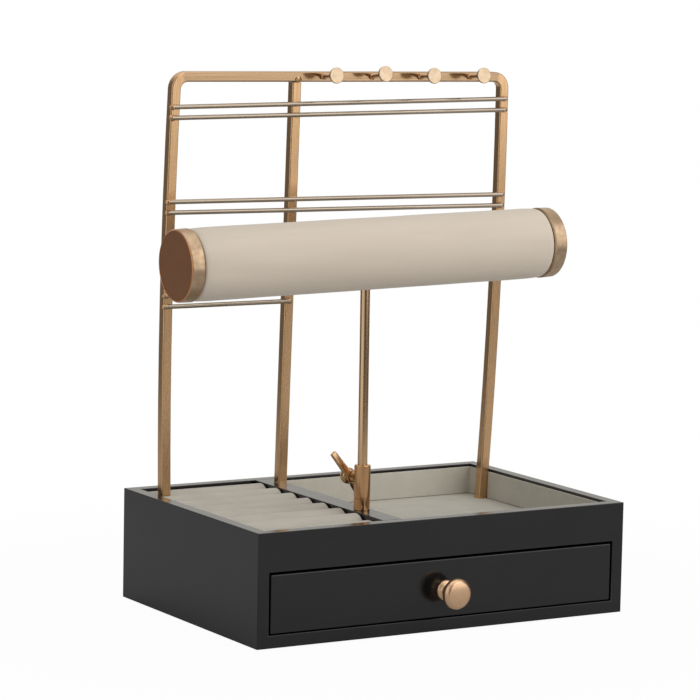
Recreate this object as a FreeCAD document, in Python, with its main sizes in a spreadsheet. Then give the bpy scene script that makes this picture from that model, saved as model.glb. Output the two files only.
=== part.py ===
"""Jewelry stand: a lacquered box with a drawer, an earring frame and a T-bar bracelet roll.

Frame: millimetres, +Z up, the front faces -Y. The origin is the centre of the base, on the table.
"""
import FreeCAD, Part
import os
import re
import math

Vector = FreeCAD.Vector
os.makedirs("parts", exist_ok=True)
doc = FreeCAD.newDocument("JewelryStand")

# ---------------------------------------------------------------- driving dimensions

SIZES = {
    # case
    "case_width": 300, "case_depth": 200, "case_height": 80, "panel": 9, "edge_round": 0.6,
    "base_felt": 1.5, "felt_inset": 9, "drawer_bay": 43.3, "deck": 3.7,
    "divider_left": 103.5, "divider_width": 16,
    # linings
    "lining": 1.5, "wall_lining": 1, "lining_drop": 2, "drawer_lining": 1.2,
    # ring rolls
    "ring_count": 8, "ring_crest_drop": 0.2, "ring_gap": 0.15, "ring_end_gap": 0.2,
    # drawer
    "drawer_gap": 1.4, "face_gap": 1.6, "drawer_lift": 0.9, "drawer_wall": 6, "drawer_height": 33.5,
    "drawer_back_gap": 5, "drawer_bottom_rise": 2.5, "drawer_floor": 3,
    "glide_width": 8, "glide_height": 0.8, "stop_diameter": 10, "stop_gap": 0.3, "stop_spread": 220,
    # knob
    "knob_drop": 1.95, "knob_flange": 14.5, "knob_neck": 8.8, "knob_head": 21.8, "knob_reach": 19.6,
    "knob_screw": 4, "knob_screw_length": 16,
    # earring frame
    "tube": 7.3, "tube_wall": 1, "tube_round": 1, "rake": 2.1, "frame_back": 67.6,
    "bar_height": 298.2, "bar_tilt": 0.53, "corner_radius": 9, "hoop_half_width": 142.8, "hoop_shift": 1.6,
    "bow_radius": 4600, "bow_height": 174, "foot_straight": -6, "plug_length": 12,
    "rod": 3.4, "rod_sink": 0.4, "rod_pitch": 7.9, "rod_inset": 1.2,
    "tier_top": 275.65, "tier_middle": 206.4, "tier_low": 140.3,
    # necklace pegs
    "peg_count": 4, "peg_first": -16.8, "peg_pitch": 41.5, "peg_reach": 20, "peg_rise": 7,
    "peg_pin": 3, "peg_head": 11.5, "peg_head_thick": 2, "peg_sink": 0.8,
    # screws from below
    "screw": 3, "screw_head": 6, "screw_head_height": 2, "screw_grip": 8,
    # T-bar
    "post_back": -48.5, "post": 6.9, "post_play": 0.05, "sleeve": 11.5, "sleeve_height": 32.2,
    "sleeve_base": 8.5, "seam": 0.5, "roll_height": 180.8, "roll_turn": 0, "roll_tilt": 1.2,
    "roll_length": 302.5, "roll_shift": 0.65, "roll_diameter": 50.2, "cap_diameter": 49.6, "cap_length": 10.5,
    "cap_spigot": 8, "core_outer": 45, "core_inner": 40, "hub_length": 30,
    "spigot": 5, "spigot_below": 10, "spigot_above": 8, "post_hole": 8,
    # wing screw
    "wing_height": 22.2, "wing_turn": 10, "wing_lean": 38, "wing_flare": 8, "boss": 7.6, "boss_reach": 9.8,
    "thread": 4, "wing_collar": 9, "wing_collar_length": 3, "wing_hub": 11.6, "wing_hub_length": 6,
    "wing_span": 42.8, "wing_width": 4.6, "wing_thick": 3.2,
}

# the pegs are set by hand: how far each one stands from its even place, and how many degrees more it rises
PEG_SET = ((-0.4, -1.3), (-0.9, 2.1), (-1.0, -1.7), (0.3, -1.0))

sheet = doc.addObject("Spreadsheet::Sheet", "Sizes")
for row, (alias, number) in enumerate(SIZES.items(), start=1):
    sheet.set("A%d" % row, alias)
    sheet.set("B%d" % row, str(number))
    sheet.setAlias("B%d" % row, alias)
doc.recompute()

WORD = re.compile(r"\b(" + "|".join(sorted(SIZES, key=len, reverse=True)) + r")\b")
nodes = {}


def linked(text):
    """An expression written in the sheet's aliases, with each alias pointed at the sheet."""
    return WORD.sub(r"Sizes.\1", str(text))


def value(text):
    """The number that such an expression gives now."""
    return float(sheet.evalExpression(linked(text)))


def bind(obj, bindings):
    for name, text in bindings.items():
        obj.setExpression(name, linked(text))
    return obj


def place(obj, x="0", y="0", z="0"):
    return bind(obj, {".Placement.Base.x": x, ".Placement.Base.y": y, ".Placement.Base.z": z})


def pose(obj, x, y, z, yaw="0", pitch="0", roll="0"):
    """Binds a whole placement: a point, then the turns about Z, Y and X."""
    text = "create(<<placement>>; create(<<vector>>; %s; %s; %s); create(<<rotation>>; %s; %s; %s))"
    return bind(obj, {"Placement": text % (x, y, z, yaw, pitch, roll)})


def node(name, obj):
    obj.Label = name
    nodes[name] = obj
    return obj


def block(name, low, high):
    """A Part::Box between two corners, each given as three expressions."""
    obj = doc.addObject("Part::Box", name)
    spans = ["(%s) - (%s)" % (high[i], low[i]) for i in range(3)]
    bind(obj, {"Length": spans[0], "Width": spans[1], "Height": spans[2]})
    return place(obj, *low)


def rod(name, diameter, length):
    """A Part::Cylinder along its own +Z."""
    obj = doc.addObject("Part::Cylinder", name)
    return bind(obj, {"Radius": "(%s) / 2" % diameter, "Height": length})


def upright(name, diameter, x, y, low, high):
    """A vertical Part::Cylinder between two heights."""
    return place(rod(name, diameter, "(%s) - (%s)" % (high, low)), x, y, low)


def across(name, diameter, length, x, y, z):
    """A Part::Cylinder that runs toward +X."""
    return pose(rod(name, diameter, length), x, y, z, pitch="90")


def forward(name, diameter, length, x, y, z, rise="0"):
    """A Part::Cylinder that runs toward -Y, rising by an angle."""
    return pose(rod(name, diameter, length), x, y, z, roll="90 - (%s)" % rise)


def backward(name, diameter, length, x, y, z):
    """A Part::Cylinder that runs toward +Y."""
    return pose(rod(name, diameter, length), x, y, z, roll="-90")


def cut(name, base, *tools):
    for number, tool in enumerate(tools):
        result = doc.addObject("Part::Cut", "%s_cut%d" % (name, number))
        result.Base = base
        result.Tool = tool
        base = result
    return base


def fuse(name, *shapes):
    obj = doc.addObject("Part::MultiFuse", name)
    obj.Shapes = list(shapes)
    return obj


def group(name, members):
    obj = doc.addObject("Part::Compound", name)
    obj.Links = list(members)
    return node(name, obj)


def plane_of(body, role):
    return next(item for item in body.Origin.OriginFeatures if item.Role == role)


def outline(body, name, points, role="XZ_Plane"):
    """A closed sketch of straight lines through points, each held to the sheet in x and y."""
    sketch = body.newObject("Sketcher::SketchObject", name)
    sketch.AttachmentSupport = [(plane_of(body, role), "")]
    sketch.MapMode = "FlatFace"
    import Sketcher
    numbers = [Vector(value(x), value(y), 0) for x, y in points]
    count = len(points)
    for i in range(count):
        sketch.addGeometry(Part.LineSegment(numbers[i], numbers[(i + 1) % count]), False)
    for i in range(count):
        sketch.addConstraint(Sketcher.Constraint("Coincident", i, 2, (i + 1) % count, 1))
    for i, (x, y) in enumerate(points):
        for axis, text, number in (("DistanceX", x, numbers[i].x), ("DistanceY", y, numbers[i].y)):
            if abs(number) < 1e-9:
                line = -2 if axis == "DistanceX" else -1
                sketch.addConstraint(Sketcher.Constraint("PointOnObject", i, 1, line))
            else:
                index = sketch.addConstraint(Sketcher.Constraint(axis, -1, 1, i, 1, number))
                sketch.setExpression("Constraints[%d]" % index, linked(text))
    return sketch


def turned(name, points):
    """A PartDesign body turned about its own +Z from (radius, height) points."""
    body = doc.addObject("PartDesign::Body", name)
    sketch = outline(body, name + "_profile", points)
    spin = body.newObject("PartDesign::Revolution", name + "_turn")
    spin.Profile = sketch
    spin.ReferenceAxis = (sketch, ["V_Axis"])
    spin.Angle = 360
    sketch.Visibility = False
    return body


# ---------------------------------------------------------------- heights and planes used throughout

left, right = "-case_width / 2", "case_width / 2"
front, back = "-case_depth / 2", "case_depth / 2"
in_left, in_right = "-case_width / 2 + panel", "case_width / 2 - panel"
in_front, in_back = "-case_depth / 2 + panel", "case_depth / 2 - panel"
bay_floor = "base_felt + panel"
deck_under = "base_felt + panel + drawer_bay"
deck_top = "base_felt + panel + drawer_bay + deck"
bed = deck_top + " + lining"
rim = "base_felt + case_height"
lining_top = rim + " - lining_drop"
divider_from = "divider_left - case_width / 2"
divider_to = "divider_left - case_width / 2 + divider_width"
post_x = "divider_left - case_width / 2 + divider_width / 2"


# ---------------------------------------------------------------- case

def case_panels():
    """Six boards of 9 mm and the thin deck; the outer edges that show are rounded over."""
    panels = (
        ("side_panel_left", (left, front, "base_felt"), (in_left, back, rim)),
        ("side_panel_right", (in_right, front, "base_felt"), (right, back, rim)),
        ("back_panel", (in_left, in_back, bay_floor), (in_right, back, rim)),
        ("front_rail", (in_left, front, deck_under), (in_right, in_front, rim)),
        ("bottom_panel", (in_left, front, "base_felt"), (in_right, back, bay_floor)),
    )
    for name, low, high in panels:
        board = block(name + "_board", low, high)
        doc.recompute()
        round_over = doc.addObject("Part::Fillet", name + "_rounded")
        round_over.Base = board
        edges = [i + 1 for i, edge in enumerate(board.Shape.Edges) if outer_edge(edge)]
        radius = value("edge_round")
        round_over.Edges = [(i, radius, radius) for i in edges]
        node(name, round_over)
    node("base_felt_sheet", block("felt", ("felt_inset - case_width / 2", "felt_inset - case_depth / 2", "0"),
                                  ("case_width / 2 - felt_inset", "case_depth / 2 - felt_inset", "base_felt")))


def outer_edge(edge):
    """True for an edge that lies on two of the case's outer faces, the base's own edges included."""
    box = edge.BoundBox
    half_width, half_depth = value("case_width / 2"), value("case_depth / 2")
    faces = [abs(box.XMin + half_width) < 0.01 and box.XLength < 0.01,
             abs(box.XMax - half_width) < 0.01 and box.XLength < 0.01,
             abs(box.YMin + half_depth) < 0.01 and box.YLength < 0.01,
             abs(box.YMax - half_depth) < 0.01 and box.YLength < 0.01,
             abs(box.ZMax - value(rim)) < 0.01 and box.ZLength < 0.01,
             abs(box.ZMin - value("base_felt")) < 0.01 and box.ZLength < 0.01]
    return sum(faces) >= 2


def deck_and_divider():
    """The deck carries the top compartments; the divider carries the middle leg and the sleeve."""
    board = block("deck_slab", (in_left, in_front, deck_under), (in_right, in_back, deck_top))
    holes = [upright("deck_hole%d" % i, "screw + 0.4", x, y, deck_under + " - 1", deck_top + " + 1")
             for i, (x, y) in enumerate(screw_spots())]
    node("deck_board", cut("deck", board, *holes))
    bar = block("divider_bar", (divider_from, in_front, deck_top), (divider_to, in_back, rim))
    bores = [upright("divider_hole%d" % i, "screw + 0.4", x, y, deck_top + " - 1", rim + " + 1")
             for i, (x, y) in enumerate(screw_spots()[2:])]
    node("divider", cut("divider", bar, *bores))


# ---------------------------------------------------------------- ring bed and tray

def ring_bed():
    """Felt-covered foam rolls, flattened where they lie on their card, side by side."""
    low = ("%s + ring_end_gap" % in_left, "%s + ring_end_gap" % in_front, deck_top)
    high = ("%s - ring_end_gap" % divider_from, "%s - ring_end_gap" % in_back, bed)
    card = block("ring_card_sheet", low, high)
    hole = upright("ring_card_hole", "screw + 0.4", *screw_spots()[0], deck_top + " - 1", bed + " + 1")
    node("ring_bed_card", cut("ring_card", card, hole))
    pitch = "(case_depth - 2 * panel) / ring_count"
    radius = "(%s / 2 - ring_gap / 2)" % pitch
    middle = "%s - ring_crest_drop - %s" % (rim, radius)
    length = "divider_left - panel - 2 * ring_end_gap"
    for number in range(1, int(value("ring_count")) + 1):
        y = "-case_depth / 2 + panel + %s * %.1f" % (pitch, number - 0.5)
        tag = "ring_roll_%d" % number
        bar = across(tag + "_bar", "2 * " + radius, length, low[0], y, middle)
        under = block(tag + "_under", (left, y + " - case_depth / 8", "0"),
                      (divider_to, y + " + case_depth / 8", bed))
        tools = [under]
        if number >= 7:
            leg_x, leg_y = screw_spots()[0]
            tools.append(block(tag + "_notch", (left, leg_y + " - tube / 2 - 1.5", "0"),
                               (leg_x + " + tube / 2 + 0.6", leg_y + " + tube / 2 + 0.6", rim)))
        node(tag, cut(tag, bar, *tools))


def tray_linings():
    """Felt-covered card: a floor and four walls that stop under the rim, one slotted round the frame's leg."""
    floor = block("tray_floor_sheet", (divider_to, in_front, deck_top), (in_right, in_back, bed))
    hole = upright("tray_floor_hole", "screw + 0.4", *screw_spots()[1], deck_top + " - 1", bed + " + 1")
    node("tray_floor_lining", cut("tray_floor", floor, hole))
    walls = {
        "tray_lining_front": ((divider_to, in_front), (in_right, in_front + " + wall_lining")),
        "tray_lining_back": ((divider_to, in_back + " - wall_lining"), (in_right, in_back)),
        "tray_lining_left": ((divider_to, in_front + " + wall_lining"), (divider_to + " + wall_lining", in_back + " - wall_lining")),
        "tray_lining_right": ((in_right + " - wall_lining", in_front + " + wall_lining"), (in_right, in_back + " - wall_lining")),
    }
    leg_y = screw_spots()[1][1]
    slot = block("tray_lining_slot", ("0", leg_y + " - tube / 2 - 1.8", "0"),
                 (right, leg_y + " + tube / 2 + 0.8", rim))
    for name, (low, high) in walls.items():
        wall = block(name + "_sheet", (*low, bed), (*high, lining_top))
        node(name, cut("tray_lining_slotted", wall, slot) if name == "tray_lining_right" else wall)


# ---------------------------------------------------------------- drawer

drawer_left, drawer_right = in_left + " + drawer_gap", in_right + " - drawer_gap"
drawer_low = bay_floor + " + drawer_lift"
drawer_top = drawer_low + " + drawer_height"
drawer_end = in_back + " - drawer_back_gap"
box_left, box_right = drawer_left + " + drawer_wall", drawer_right + " - drawer_wall"
box_end = drawer_end + " - drawer_wall"
box_floor = drawer_low + " + drawer_bottom_rise + drawer_floor"
knob_z = "base_felt + panel + drawer_bay / 2 - knob_drop"


def drawer():
    """Inset front, two sides, back and bottom, with felt inside and a screw for the knob."""
    face = block("drawer_face", (drawer_left, front, drawer_low),
                 (drawer_right, in_front, deck_under + " - face_gap"))
    hole = backward("drawer_face_hole", "knob_screw + 0.2", "panel + 2", "0", front + " - 1", knob_z)
    node("drawer_front", cut("drawer_front", face, hole))
    node("drawer_side_left", block("drawer_side_l", (drawer_left, in_front, drawer_low),
                                   (box_left, drawer_end, drawer_top)))
    node("drawer_side_right", block("drawer_side_r", (box_right, in_front, drawer_low),
                                    (drawer_right, drawer_end, drawer_top)))
    node("drawer_back", block("drawer_back_board", (box_left, box_end, drawer_low),
                              (box_right, drawer_end, drawer_top)))
    node("drawer_bottom", block("drawer_floor_board", (box_left, in_front, drawer_low + " + drawer_bottom_rise"),
                                (box_right, box_end, box_floor)))
    lined_floor = box_floor + " + drawer_lining"
    felt = "drawer_lining"
    node("drawer_floor_lining", block("drawer_floor_felt", (box_left, in_front, box_floor),
                                      (box_right, box_end, lined_floor)))
    lining_high = drawer_top + " - 1"
    strip = block("drawer_felt_front", (box_left, in_front, lined_floor),
                  (box_right, in_front + " + " + felt, lining_high))
    head_hole = backward("drawer_felt_hole", "2 * knob_screw + 1", "panel", "0", in_front + " - 1", knob_z)
    strips = [
        cut("drawer_felt", strip, head_hole),
        block("drawer_felt_back", (box_left, box_end + " - " + felt, lined_floor),
              (box_right, box_end, lining_high)),
        block("drawer_felt_left", (box_left, in_front + " + " + felt, lined_floor),
              (box_left + " + " + felt, box_end + " - " + felt, lining_high)),
        block("drawer_felt_right", (box_right + " - " + felt, in_front + " + " + felt, lined_floor),
              (box_right, box_end + " - " + felt, lining_high)),
    ]
    group("drawer_wall_linings", strips)


def knob_and_screw():
    """A turned mushroom knob, held by a pan-head screw from inside the drawer."""
    tapped = "knob_screw / 2 + 0.02"
    profile = [(tapped, "0"), ("knob_flange / 2", "0"), ("knob_flange / 2", "1.1"),
               ("knob_flange / 2 - 0.5", "1.7"), ("knob_neck / 2 + 0.6", "2.6"), ("knob_neck / 2", "4.4"),
               ("knob_neck / 2 + 0.3", "7.2"), ("knob_head / 2 - 2.6", "knob_reach - 6.2"),
               ("knob_head / 2 - 0.5", "knob_reach - 5.2"), ("knob_head / 2", "knob_reach - 4.2"),
               ("knob_head / 2", "knob_reach - 3.2"), ("knob_head / 2 - 0.7", "knob_reach - 2.1"),
               ("knob_head / 2 - 3", "knob_reach - 1"), ("knob_head / 4", "knob_reach - 0.3"),
               ("0", "knob_reach"), ("0", "8.5"), (tapped, "8.5")]
    knob = turned("knob_body", profile)
    pose(knob, "0", front, knob_z, roll="90")
    node("knob", knob)
    shank = forward("knob_screw_shank", "knob_screw", "knob_screw_length", "0", in_front, knob_z)
    head = backward("knob_screw_cap", "2 * knob_screw", "2.4", "0", in_front, knob_z)
    node("knob_bolt", fuse("knob_screw_fused", shank, head))


def glides_and_stops():
    """Felt glides under the drawer's sides and two rubber stops behind it, all fixed in the case."""
    glides = []
    for side, start in (("l", in_left + " + 1"), ("r", in_right + " - 1 - glide_width")):
        glides.append(block("glide_" + side, (start, in_front, bay_floor),
                            (start + " + glide_width", drawer_end, bay_floor + " + glide_height")))
    group("drawer_glides", glides)
    stops = []
    for side, sign in (("l", "-1"), ("r", "1")):
        stops.append(forward("stop_" + side, "stop_diameter", "drawer_back_gap - stop_gap",
                             sign + " * stop_spread / 2", in_back, knob_z))
    group("drawer_stops", stops)


# ---------------------------------------------------------------- earring frame

def raked(height, depth="0"):
    """Where a point of the raked frame lies, from its height above the rim and its depth."""
    y = "frame_back + (%s) * cos(rake) - (%s) * sin(rake)" % (depth, height)
    z = "%s + (%s) * sin(rake) + (%s) * cos(rake)" % (rim, depth, height)
    return y, z


def leg_x(height):
    """How far the hoop's legs stand from its middle, at a height above the rim: they bow outward."""
    return ("(hoop_half_width - tube / 2 - bow_radius + sqrt(bow_radius ^ 2 - (%s - bow_height) ^ 2))" % height)


def screw_spots():
    """Screw positions: left foot, right foot, middle foot, sleeve."""
    foot = "(lining - case_height + panel + drawer_bay + deck)"
    foot_y = "frame_back - %s * tan(rake)" % foot
    return [("hoop_shift - " + leg_x(foot), foot_y), ("hoop_shift + " + leg_x(foot), foot_y),
            (post_x, "frame_back"), (post_x, "post_back")]


def frame_placement():
    turned_over = FreeCAD.Rotation(Vector(1, 0, 0), value("rake"))
    return FreeCAD.Placement(Vector(0, value("frame_back"), value(rim)), turned_over)


def tube_section(start, direction):
    """The tube's hollow square section with rounded corners, across a direction in the frame's own plane."""
    across = Vector(0, 1, 0)
    side = across.cross(direction)
    wires = []
    for half, corner in ((value("tube / 2"), value("tube_round")),
                         (value("tube / 2 - tube_wall"), value("tube_round") / 3)):
        flat = half - corner
        arc = corner * (1 - math.sqrt(0.5))
        pieces = []
        for a, b in ((1, 1), (-1, 1), (-1, -1), (1, -1)):
            ends = [(a * half, b * flat), (a * flat, b * half)]
            first, last = ends if a * b > 0 else ends[::-1]
            middle = (a * (half - arc), b * (half - arc))
            spots = [start + side * u + across * v for u, v in (first, middle, last)]
            pieces.append(Part.Arc(*spots).toShape())
        edges = []
        for i, piece in enumerate(pieces):
            following = pieces[(i + 1) % 4]
            edges.append(piece)
            edges.append(Part.LineSegment(piece.Vertexes[-1].Point, following.Vertexes[0].Point).toShape())
        wires.append(Part.Wire(Part.__sortEdges__(edges)))
    outside, inside = Part.Face(wires[0]), Part.Face(wires[1])
    return outside.cut(inside).Faces[0]


def seated(shape, height):
    """Cuts a frame piece level, so that it stands flat at a height although the frame is raked."""
    slab = Part.makeBox(600, 600, 60, Vector(-300, -300, height - 60))
    slab.Placement = frame_placement().inverse().multiply(slab.Placement)
    return shape.cut(slab)


def frame_piece(name, shape):
    feature = doc.addObject("Part::Feature", name)
    feature.Shape = shape
    feature.Placement = frame_placement()
    return node(name, feature)


def hoop_tube():
    """Straight foot, bowed leg, corner bend and top bar, both ways: turned and straight runs of one section."""
    bow, corner = value("bow_radius - tube / 2"), value("corner_radius")
    shift, bar, widest = value("hoop_shift"), value("bar_height"), value("bow_height")
    bow_middle = value("hoop_half_width - tube / 2") - bow
    foot = math.asin((value("foot_straight") - widest) / bow)
    tilt = math.radians(value("bar_tilt"))
    runs, bar_ends = [], []
    for sign in (-1, 1):
        # the corner's middle is one radius under the tilted bar and one radius inside the bow
        x, z = 0, 0
        for _ in range(30):
            z = bar - sign * x * math.tan(tilt) - corner / math.cos(tilt)
            x = bow_middle + math.sqrt((bow - corner) ** 2 - (z - widest) ** 2)
        lean = math.asin((z - widest) / (bow - corner))
        top = math.pi / 2 - sign * tilt
        for middle, radius, begin, end in (((bow_middle, widest), bow, foot, lean), ((x, z), corner, lean, top)):
            centre = Vector(shift + sign * middle[0], 0, middle[1])
            outward = Vector(sign * math.cos(begin), 0, math.sin(begin))
            upward = Vector(-sign * math.sin(begin), 0, math.cos(begin))
            section = tube_section(centre + outward * radius, upward)
            runs.append(section.revolve(centre, Vector(0, -sign, 0), math.degrees(end - begin)))
            if radius == bow:
                runs.append(section.extrude(upward * (value(bed) - value(rim) - 4 - value("foot_straight"))))
        bar_ends.append(Vector(shift + sign * (x + corner * math.cos(top)), 0, z + corner * math.sin(top)))
    across_top = bar_ends[1] - bar_ends[0]
    runs.append(tube_section(bar_ends[0], across_top.normalize()).extrude(bar_ends[1] - bar_ends[0]))
    return runs[0].fuse(runs[1:]).removeSplitter()


def earring_frame():
    """Bent hoop, middle leg, threaded plugs in the feet."""
    frame_piece("frame_hoop", seated(hoop_tube(), value(bed)))
    foot, top = Vector(value(post_x), 0, -4), Vector(value(post_x), 0, value("bar_height - tube / 2"))
    straight = tube_section(foot, Vector(0, 0, 1)).extrude(top - foot)
    frame_piece("middle_leg", seated(straight, value(rim)))
    wide, length = value("tube - 2 * tube_wall") - 0.1, value("plug_length")
    plugs = []
    for (x, y), floor in zip(screw_spots()[:3], (bed, bed, rim)):
        low = value(floor) - value(rim) - 1
        plug = Part.makeBox(wide, wide, length, Vector(value(x) - wide / 2, -wide / 2, low))
        tilt = 0 if floor == rim else math.copysign(math.degrees(math.asin(
            (value("bow_height") - low) / value("bow_radius"))), value(x))
        plug.rotate(Vector(value(x), 0, low + 1), Vector(0, 1, 0), tilt)
        plug = seated(plug, value(floor))
        tap = Part.makeCylinder(value("screw / 2"), 60, Vector(value(x), value(y), value(floor) - 20))
        tap.Placement = frame_placement().inverse().multiply(tap.Placement)
        plugs.append(plug.cut(tap))
    frame_piece("leg_plugs", Part.makeCompound(plugs))


def earring_rods():
    """Three pairs of thin rods, resistance-welded to the front of the legs; the lowest pair is short."""
    tiers = (("top", "tier_top", (0.53, 0.42)), ("middle", "tier_middle", (-0.35, -0.47)),
             ("low", "tier_low", (0, 0)))
    for tier, height, tilts in tiers:
        for place_name, offset, tilt in zip(("upper", "lower"), ("rod_pitch / 2", "-rod_pitch / 2"), tilts):
            level_at = "%s + %s" % (height, offset)
            start = "hoop_shift - %s - tube / 2 + rod_inset" % leg_x(height)
            end = "hoop_shift + %s + tube / 2 - rod_inset" % leg_x(height)
            if tier == "low":
                end = post_x + " + tube / 2 - rod_inset"
            y, z = raked("%s + (%s) * tan(%s)" % (level_at, start, tilt), "rod_sink - tube / 2 - rod / 2")
            name = "earring_rod_%s_%s" % (tier, place_name)
            bar = rod(name + "_bar", "rod", "(%s) - (%s)" % (end, start))
            node(name, pose(bar, start, y, z, pitch="90 - (%s)" % tilt))


def necklace_pegs():
    """Four pins that rise a little out of the top bar, each with a flat round head."""
    pins, heads = [], []
    pin_length = "peg_reach - peg_head_thick + peg_sink"
    for number, (shift, lift) in enumerate(PEG_SET):
        x = "peg_first + peg_pitch * %d + (%s)" % (number, shift)
        rise = "(peg_rise + (%s))" % lift
        bar = "bar_height - (%s - hoop_shift) * tan(bar_tilt)" % x
        root_y, root_z = raked(bar, "peg_sink - tube / 2")
        pins.append(forward("peg_pin_%d" % number, "peg_pin", pin_length, x, root_y, root_z, rise))
        tip_y = "%s - (%s) * cos(%s)" % (root_y, pin_length, rise)
        tip_z = "%s + (%s) * sin(%s)" % (root_z, pin_length, rise)
        heads.append(forward("peg_head_%d" % number, "peg_head", "peg_head_thick", x, tip_y, tip_z, rise))
    group("peg_pins", pins)
    group("peg_heads", heads)


def fixing_screws():
    """Screws from inside the drawer bay: short ones into the outer feet, long ones through the divider."""
    spots = screw_spots()
    sets = (("short_fixing_screws", spots[:2], bed), ("long_fixing_screws", spots[2:], rim))
    for name, places, seat in sets:
        screws = []
        for i, (x, y) in enumerate(places):
            shank = upright("%s_shank%d" % (name, i), "screw", x, y, deck_under, seat + " + screw_grip")
            head = upright("%s_head%d" % (name, i), "screw_head", x, y,
                           deck_under + " - screw_head_height", deck_under)
            screws.append(fuse("%s_%d" % (name, i), shank, head))
        group(name, screws)


# ---------------------------------------------------------------- T-bar

roll_z = rim + " + roll_height"


def sleeve():
    """A turned socket with a solid base and a tapped boss at its back for the wing screw."""
    bore = "post / 2 + post_play"
    profile = [("screw / 2", "0"), ("sleeve / 2", "0"), ("sleeve / 2", "sleeve_base"),
               ("sleeve / 2 - seam / 2", "sleeve_base + 0.1"), ("sleeve / 2 - seam / 2", "sleeve_base + seam"),
               ("sleeve / 2", "sleeve_base + seam + 0.1"), ("sleeve / 2", "sleeve_height - 1"),
               ("sleeve / 2 - 0.8", "sleeve_height"), (bore, "sleeve_height"), (bore, "sleeve_base"),
               ("screw / 2", "sleeve_base")]
    body = turned("sleeve_turning", profile)
    place(body, post_x, "post_back", rim)
    wing_z = rim + " + wing_height"
    boss = rod("sleeve_boss", "boss", "boss_reach")
    core = rod("sleeve_boss_bore", "post + 2 * post_play", "sleeve_height")
    tap = rod("sleeve_tap", "thread + 2 * post_play", "boss_reach + 1")
    for tool in (boss, tap):
        aim(tool, wing_z)
    place(core, post_x, "post_back", rim + " + sleeve_base")
    joined = fuse("sleeve_joined", body, boss)
    node("sleeve", cut("sleeve", joined, core, tap))


def aim(obj, height):
    """Points an object's own +Z out of the back of the sleeve, along the wing screw's axis."""
    return pose(obj, post_x, "post_back", height, yaw="wing_turn", roll="-90")


def wing_screw():
    """Thread, collar and round hub about one axis, with two wings that spread outward from it."""
    grip = "post / 2 + 0.1"
    hub_from = "boss_reach + 0.2 + wing_collar_length"
    thread = rod("wing_thread", "thread", "(%s) - (%s)" % (hub_from, grip))
    collar = rod("wing_collar_disc", "wing_collar", "wing_collar_length + 0.5")
    hub = rod("wing_hub_disc", "wing_hub", "wing_hub_length")
    rounded = doc.addObject("Part::Fillet", "wing_hub_rounded")
    doc.recompute()
    rounded.Base = hub
    radius = value("wing_hub_length") * 0.35
    circles = [i + 1 for i, edge in enumerate(hub.Shape.Edges) if edge.Length < 60 and edge.Closed]
    rounded.Edges = [(i, radius, radius) for i in circles]
    wings = []
    for number, turn in enumerate(("90 - wing_lean", "270 - wing_lean")):
        bar = block("wing_bar%d" % number, ("0", "-wing_width / 2", "0"),
                    ("wing_span / 2 - wing_width / 2", "wing_width / 2", "wing_thick"))
        tip = place(rod("wing_tip%d" % number, "wing_width", "wing_thick"), "wing_span / 2 - wing_width / 2")
        wing = fuse("wing%d" % number, bar, tip)
        wings.append(pose(wing, "0", "0", "%s + wing_hub_length / 2 - wing_thick / 2" % hub_from, yaw=turn,
                          pitch="-wing_flare"))
    place(thread, "0", "0", grip)
    place(collar, "0", "0", "boss_reach + 0.2")
    place(rounded, "0", "0", hub_from)
    whole = fuse("wing_screw_fused", thread, collar, rounded, *wings)
    aim(whole, rim + " + wing_height")
    node("wing_screw", whole)


def post_and_hub_screw():
    """The post has a shoulder and a spigot that the roll's hub turns on; a screw keeps the hub there."""
    shoulder = "roll_height - spigot_below - sleeve_base - 0.1"
    top = "roll_height + spigot_above + 0.2 - sleeve_base - 0.1"
    profile = [("0", "0"), ("post / 2 - 0.5", "0"), ("post / 2", "0.5"), ("post / 2", shoulder),
               ("spigot / 2", shoulder), ("spigot / 2", top), ("screw / 2", top),
               ("screw / 2", top + " - screw_grip - 2"), ("0", top + " - screw_grip - 2")]
    body = turned("post_turning", profile)
    place(body, post_x, "post_back", rim + " + sleeve_base + 0.1")
    node("tbar_post", body)
    seat = roll_z + " + spigot_above + 0.2"
    shank = upright("hub_screw_shank", "screw", post_x, "post_back", seat + " - screw_grip", seat)
    head = upright("hub_screw_cap", "2 * spigot - 1", post_x, "post_back", seat, seat + " + 2.4")
    node("hub_screw", fuse("hub_screw_fused", shank, head))


def along_roll(obj, start, yaw="roll_turn", pitch="90 - roll_tilt"):
    """Lays an object along the roll, from a distance right of the post's axis."""
    reach = "(%s) * cos(roll_tilt)" % start
    return pose(obj, "%s + %s * cos(roll_turn)" % (post_x, reach), "post_back + %s * sin(roll_turn)" % reach,
                "%s + (%s) * sin(roll_tilt)" % (roll_z, start), yaw, pitch)


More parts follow.
